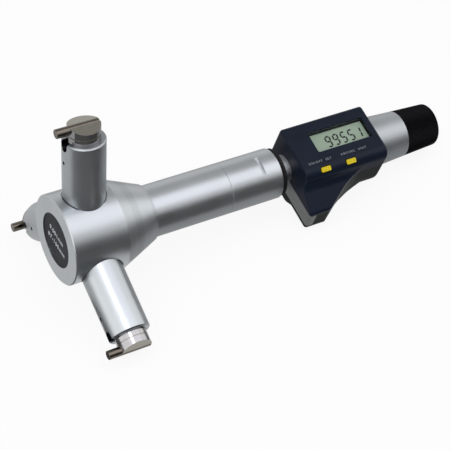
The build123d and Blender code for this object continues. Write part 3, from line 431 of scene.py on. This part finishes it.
def head_metal(name, line):
    """Satin drum whose front face is painted brighter, with bands of painted reflection on its cone."""
    make = turned(name, line, satin, satin_roughness)
    # The front face is painted brighter: painted light
    make.shade(make.past(axis, drum_front), inside=painted_face_light_tint)
    # Bands of painted reflection across the cone
    for place, tint in cone_painted_bands:
        make.shade(make.past(axis, place, blend=0.15), outside=tint)
    return make


def sleeve_metal(name, line):
    """Satin arm tube whose bore and small holes are painted dark, painted shade with some oil, and whose end
    face is painted darker, painted shade.
    """
    make = turned(name, line, satin, satin_roughness)
    skin = make.outside(line, tube_skin_radius, blend=0.06)
    # The bore and the walls of the notch and holes are painted dark: painted shade with some oil
    make.shade(make.either(skin, make.past(line, tube_rim)), inside=bore_shade_and_oil_tint)
    # The end face is painted darker: painted shade
    make.shade(make.past(line, tube_end), outside=tube_end_shade_tint)
    return make


def anvil_metal(name, line):
    """Ground anvil: satin roof, polished side wall, and painted dark inside the arm tube, painted shade with
    some oil.
    """
    make = ground(name, line, (0.27, 0.262, 0.222), 0.2, depth=0.0006, contrast=0.1)
    side_wall = make.outside(line, anvil_skin_radius, blend=0.05)
    make.shade(side_wall, outside=polished_tint)
    make.rough(side_wall, 0.26, 0.11)
    # Inside the arm tube the anvil is painted dark: painted shade with some oil
    make.shade(make.past(line, anvil_mouth, blend=0.25), inside=anvil_shade_and_oil_tint)
    return make


def frame_casting(name, line):
    """Die-cast frame of the unit with a turned neck that is painted much brighter, a painted highlight."""
    make = cast(name, (0.225, 0.236, 0.232), 0.38)
    # The neck is painted brighter: painted highlight
    make.shade(make.past(axis, neck_rear, blend=0.2), inside=neck_highlight_tint)
    return make


def button_plastic(name, line):
    """Bright button whose sides are painted darker, painted shade of its recess."""
    make = moulded(name, (0.66, 0.52, 0.003), 0.4, 0.3, depth=0.004, contrast=0.06)
    lean_out = cos(button_lean) * unit_out + sin(button_lean) * unit_down
    # The button's sides are painted darker: painted shade
    make.shade(make.past(lean_out, button_top - button_rim), inside=button_side_shade_tint)
    return make


# Finishes of single nodes and of material slots. Each gets a name and the direction that its
# lines run across, which is the axis for the contact pins and the cell's own for the battery
finishes = {
    "head_body": head_metal,
    "arm_sleeve": sleeve_metal,
    # Guide pins are painted near black: painted shade of the holes they sit deep in
    "guide_pin": lambda name, line: ground(name, line, (0.02, 0.02, 0.022), 0.5),
    "satin_aluminium": lambda name, line: turned(name, line, satin, satin_roughness),
    "thimble": lambda name, line: turned(name, line, tinted(satin, 0.87), 0.45),
    "ground_steel": anvil_metal,
    "hard_pin": lambda name, line: ground(
        name, axis, (0.135, 0.118, 0.10), 0.17, depth=0.0006, contrast=0.12
    ),
    "tool_steel": lambda name, line: ground(name, line, (0.38, 0.38, 0.39), 0.25),
    "spring_steel": lambda name, line: ground(name, line, (0.34, 0.34, 0.36), 0.35),
    "bearing_brass": lambda name, line: turned(name, line, (0.58, 0.42, 0.19), 0.3),
    "dark_screws": lambda name, line: cast(name, (0.10, 0.10, 0.11), 0.42),
    "head_cap": lambda name, line: turned(name, line, (0.36, 0.37, 0.38), 0.4),
    "badge": lambda name, line: moulded(
        name, (0.0095, 0.011, 0.014), 0.5, 0.15, texture=0.15, depth=0.003
    ),
    "black_rubber": lambda name, line: moulded(
        name, (0.008, 0.008, 0.008), 0.7, 0.2, texture=0.3, depth=0.01
    ),
    "frame_metal": frame_casting,
    "front_plastic": lambda name, line: moulded(name, (0.0047, 0.0095, 0.0215), 0.37, 0.13),
    "rear_plastic": lambda name, line: moulded(name, (0.0065, 0.008, 0.0075), 0.45, 0.11),
    "window_pane": lambda name, line: window_pane(name),
    "display_grey": lambda name, line: crystal_panel(name),
    "board_green": lambda name, line: board_lacquer(name),
    "button_yellow": button_plastic,
    "cell_steel": lambda name, line: turned(name, unit_out, (0.5, 0.5, 0.49), 0.22),
    "knob_black": lambda name, line: moulded(
        name, (0.0015, 0.0015, 0.0027), 0.5, 0.06, texture=0.35, depth=0.02
    ),
}


def finish_name(node, slot_name):
    """Finish of a node: its own where it has one, and otherwise that of its slot."""
    stem = node.rstrip("_123")
    return stem if stem in finishes else slot_name


def line_direction(node):
    """Direction that a piece was turned about: its arm's where it has one, else the axis."""
    number = node[-1]
    return arms[int(number) - 1] if number in "123" and node[-2] == "_" else axis


made_finishes = {}
for subpart in frame["record"]["subparts"]:
    node_name, slot_name = subpart["node"], subpart["material_slot"]
    direction = line_direction(node_name)
    finish = finish_name(node_name, slot_name)
    key = (finish, tuple(direction))
    if key not in made_finishes:
        material_name = f"{finish}_{len(made_finishes)}"
        made_finishes[key] = finishes[finish](material_name, direction).material
    shown_node = frame["nodes"][node_name]
    shown_node.data.materials.clear()
    shown_node.data.materials.append(made_finishes[key])


def mesh_object(name, points, faces, material):
    """Mesh of one material, in the scene."""
    mesh = bpy.data.meshes.new(name)
    mesh.from_pydata([tuple(point) for point in points], [], faces)
    mesh.materials.append(material)
    thing = bpy.data.objects.new(name, mesh)
    bpy.context.scene.collection.objects.link(thing)
    return thing


def mesh_piece(name, points, faces, material, body="body"):
    """Mesh that rides on a body, with the material it is given."""
    piece = mesh_object(name, points, faces, material)
    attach(piece, body)


def rectangle(edges):
    """Corners of a rectangle, given by its two edges in each of two directions."""
    (front, rear), (top, bottom) = edges
    return [(front, top), (rear, top), (rear, bottom), (front, bottom)]


# Strokes of each figure, and where each stroke begins and ends: the first number goes across
# the figure and the second down it
figure_strokes = {"9": "abcdfg", "5": "acdfg", "1": "bc"}
stroke_ends = {
    "a": ((0, 0), (1, 0)),
    "b": ((1, 0), (1, 0.5)),
    "c": ((1, 0.5), (1, 1)),
    "d": ((0, 1), (1, 1)),
    "f": ((0, 0), (0, 0.5)),
    "g": ((0, 0.5), (1, 0.5)),
}


def stroke_outline(start, end):
    """Six corners of a stroke with pointed ends, between two points in millimetres."""
    run = (end - start).normalized()
    across = Vector((-run.y, run.x)) * figure_stroke / 2
    taper = run * figure_stroke / 2
    near, far = start + run * stroke_gap, end - run * stroke_gap
    one_side = [near + taper + across, far - taper + across]
    other_side = [far - taper - across, near + taper - across]
    return [near, *one_side, far, *other_side]


def figure_outlines():
    """Outlines of all strokes of the reading, slanted, along the axis and down the face."""
    height = figure_bottom - figure_top
    for number, figure in enumerate(reading):
        left = first_figure + number * figure_pitch
        for stroke in figure_strokes[figure]:
            ends = [
                Vector((left + across * figure_width, figure_top + down * height))
                for across, down in stroke_ends[stroke]
            ]
            yield [
                (p.x - (p.y - slant_pivot) * tan(figure_slant), p.y)
                for p in stroke_outline(*ends)
            ]


def letter_mesh(words, spacing, weight):
    """Mesh of a line of letters one unit high, in the plane."""
    curve = bpy.data.curves.new("letters", "FONT")
    curve.body = words
    curve.space_character = spacing
    curve.offset = weight
    holder = bpy.data.objects.new("letters", curve)
    bpy.context.scene.collection.objects.link(holder)
    bpy.context.view_layer.update()
    evaluated = holder.evaluated_get(bpy.context.evaluated_depsgraph_get())
    mesh = bpy.data.meshes.new_from_object(evaluated)
    bpy.data.objects.remove(holder)
    return mesh


def mesh_extent(mesh):
    """Left, right, lowest and highest place of a flat mesh."""
    across = [vertex.co.x for vertex in mesh.vertices]
    up = [vertex.co.y for vertex in mesh.vertices]
    return min(across), max(across), min(up), max(up)


def shape_ratio(mesh):
    """Width of a flat mesh over its height."""
    left, right, low, high = mesh_extent(mesh)
    return (right - left) / (high - low)


def lettering(name, words, weight, centre, right, up, size, ink):
    """Printed words of a given width and height; the letters are set apart to fill the width."""
    width, height = size
    close, wide = (
        shape_ratio(letter_mesh(words, spacing, weight))
        for spacing in (close_spacing, wide_spacing)
    )
    share = (width / height - close) / (wide - close)
    mesh = letter_mesh(words, close_spacing + (wide_spacing - close_spacing) * share, weight)
    left, end, low, high = mesh_extent(mesh)
    scale = width * MM / (end - left)
    normal = right.cross(up)
    points = []
    for vertex in mesh.vertices:
        x = (vertex.co.x - (left + end) / 2) * scale
        y = (vertex.co.y - (low + high) / 2) * scale
        points.append(centre + right * x + up * y + normal * print_lift * MM)
    faces = [list(face.vertices) for face in mesh.polygons]
    mesh_piece(name, points, faces, ink)


ink_dark = letter_ink("crystal_dark", (0.012, 0.018, 0.014))
ink_white = letter_ink("print_white", (0.72, 0.74, 0.78))
ink_grey = letter_ink("print_grey", (0.30, 0.31, 0.33))
ink_mask = letter_ink("mask_dark", (0.006, 0.007, 0.009))

# Figures, whose faces are turned over to look out of the display
display_print = panel_height + print_lift
figure_points, figure_faces = [], []
for outline in figure_outlines():
    first = len(figure_points)
    figure_faces.append(list(range(first, first + len(outline)))[::-1])
    figure_points += [in_unit(x, down, display_print) for x, down in outline]
mesh_piece("display_figures", figure_points, figure_faces, ink_dark)

# Mask: four faces between the outer rectangle's corners and the inner one's
mask_corners = rectangle(window_edges) + rectangle(visible_edges)
mask_points = [in_unit(x, down, display_print) for x, down in mask_corners]
mask_faces = [[i, 4 + i, 4 + (i + 1) % 4, (i + 1) % 4] for i in range(4)]
mesh_piece("display_mask", mask_points, mask_faces, ink_mask)

for name, words, front, rear in labels:
    middle = in_unit((front + rear) / 2, label_place, face_height)
    size = (rear - front, label_height)
    lettering(name, words, label_weight, middle, axis, -unit_down, size, ink_grey)

badge_right = cos(badge_tilt) * -side - sin(badge_tilt) * crown
badge_up = badge_right.cross(axis)
for name, words, across, up, width in badge_lines:
    middle = MM * (badge_front * axis + across * side + up * crown)
    size = (width, badge_letter_height)
    lettering(name, words, badge_weight, middle, badge_right, badge_up, size, ink_white)


def bare_material(name):
    """Material with an empty node tree, and the input that its surface goes to."""
    material = bpy.data.materials.new(name)
    material.use_nodes = True
    material.node_tree.nodes.clear()
    out = material.node_tree.nodes.new("ShaderNodeOutputMaterial")
    return material, out.inputs["Surface"]


def seen_directly(tree):
    """One for camera, glossy and transmission rays, and zero for the others."""
    path = tree.nodes.new("ShaderNodeLightPath")
    total = path.outputs["Is Camera Ray"]
    for kind in ("Is Glossy Ray", "Is Transmission Ray"):
        either = tree.nodes.new("ShaderNodeMath")
        either.operation = "MAXIMUM"
        tree.links.new(total, either.inputs[0])
        tree.links.new(path.outputs[kind], either.inputs[1])
        total = either.outputs["Value"]
    return total


def floor_material():
    """White floor that keeps a soft shadow: part of what is seen of it is plain white."""
    material, surface = bare_material("floor_white")
    tree = material.node_tree
    matt = tree.nodes.new("ShaderNodeBsdfDiffuse")
    matt.inputs["Color"].default_value = floor_colour
    white = tree.nodes.new("ShaderNodeEmission")
    part = tree.nodes.new("ShaderNodeMath")
    part.operation = "MULTIPLY"
    part.inputs[1].default_value = floor_white_share
    mix = tree.nodes.new("ShaderNodeMixShader")
    tree.links.new(seen_directly(tree), part.inputs[0])
    tree.links.new(part.outputs["Value"], mix.inputs["Fac"])
    tree.links.new(matt.outputs["BSDF"], mix.inputs[1])
    tree.links.new(white.outputs["Emission"], mix.inputs[2])
    tree.links.new(mix.outputs["Shader"], surface)
    return material


def card_material(name, brightness):
    """Plain card of a fixed brightness."""
    material, surface = bare_material(name)
    glow = material.node_tree.nodes.new("ShaderNodeEmission")
    glow.inputs["Color"].default_value = (brightness, brightness, brightness, 1)
    material.node_tree.links.new(glow.outputs["Emission"], surface)
    return material


def stage_mesh(name, points, faces, material):
    """Mesh that isn't part of the object."""
    thing = mesh_object(name, points, faces, material)
    return thing


def card_mesh(name, points, faces, brightness):
    """Card that is seen in reflections alone."""
    card = stage_mesh(name, points, faces, card_material(name, brightness))
    card.visible_camera = False
    card.visible_diffuse = False
    card.visible_shadow = False
    card.visible_transmission = False


def long_card(name, path, brightness, reach):
    """Card along the object, given by its (y, z) path across the axis and its reach along it."""
    points = [(x, y, z) for y, z in path for x in reach]
    faces = [[2 * i, 2 * i + 1, 2 * i + 3, 2 * i + 2] for i in range(len(path) - 1)]
    card_mesh(name, points, faces, brightness)


def arc_card(name, low, high, brightness):
    """Card bent round the object between two heights in degrees above the front horizon."""
    path = []
    for step in range(arc_steps + 1):
        height = radians(low + (high - low) * step / arc_steps)
        path.append((-card_radius * cos(height), card_radius * sin(height) + floor_level))
    long_card(name, path, brightness, arc_reach)


floor_edges = ((-floor_half, floor_half), (-floor_half, floor_half))
floor_points = [(x, y, floor_level) for x, y in rectangle(floor_edges)]
stage_mesh("floor", floor_points, [[0, 1, 2, 3]], floor_material())

for name, near, far, brightness, reach in floor_cards:
    long_card(name, [(near, card_level), (far, card_level)], brightness, reach)
for name, low, high, brightness in arc_cards:
    arc_card(name, low, high, brightness)
for name, place, back, low, brightness in end_cards:
    edges = ((end_card_front, back), (low, end_card_top))
    corners = [(place, y, z) for y, z in rectangle(edges)]
    card_mesh(name, corners, [[0, 1, 2, 3]], brightness)
streak_corners = [(x, y, streak_level) for x, y in rectangle(streak_edges)]
card_mesh("streak_card", streak_corners, [[0, 1, 2, 3]], streak_brightness)

# The softbox faces the origin; its power gives it the same brightness whatever its size
softbox_way = Vector((0, -sin(softbox_lean), cos(softbox_lean)))
softbox = bpy.data.lights.new("softbox", "AREA")
softbox.shape = "RECTANGLE"
softbox.size, softbox.size_y = softbox_size
softbox.energy = pi * softbox_size[0] * softbox_size[1] * softbox_radiance
softbox.color = softbox_tint
softbox_holder = bpy.data.objects.new("softbox", softbox)
softbox_holder.location = softbox_way * softbox_distance
softbox_holder.rotation_mode = "QUATERNION"
softbox_holder.rotation_quaternion = softbox_way.to_track_quat("Z", "Y") @ softbox_roll
bpy.context.scene.collection.objects.link(softbox_holder)

# The world is plain white where it is seen, and dimmer where it lights the object
world = bpy.data.worlds.new("studio")
bpy.context.scene.world = world
world.use_nodes = True
backdrop = world.node_tree.nodes["Background"]
strength = world.node_tree.nodes.new("ShaderNodeMapRange")
strength.inputs["To Min"].default_value = world_strength
strength.inputs["To Max"].default_value = 1.0
world.node_tree.links.new(seen_directly(world.node_tree), strength.inputs["Value"])
world.node_tree.links.new(strength.outputs["Result"], backdrop.inputs["Strength"])
backdrop.inputs["Color"].default_value = (1, 1, 1, 1)

# Camera: its line of sight, and the directions up and to the right, rolled about that line
look = Vector((
    sin(camera_azimuth) * cos(camera_drop),
    cos(camera_azimuth) * cos(camera_drop),
    -sin(camera_drop),
))
level_right = look.cross(Vector((0, 0, 1))).normalized()
camera_up = cos(camera_roll) * level_right.cross(look) + sin(camera_roll) * level_right
camera_right = look.cross(camera_up)
camera_turn = Matrix((camera_right, camera_up, -look)).transposed().to_4x4()
camera_data = bpy.data.cameras.new("camera")
camera_data.lens = camera_lens
camera_data.sensor_width = camera_sensor
camera_data.clip_start = camera_near
camera = bpy.data.objects.new("camera", camera_data)
camera.matrix_world = Matrix.Translation(camera_place) @ camera_turn
bpy.context.scene.collection.objects.link(camera)
bpy.context.scene.camera = camera
bpy.context.scene.view_settings.view_transform = "Standard"
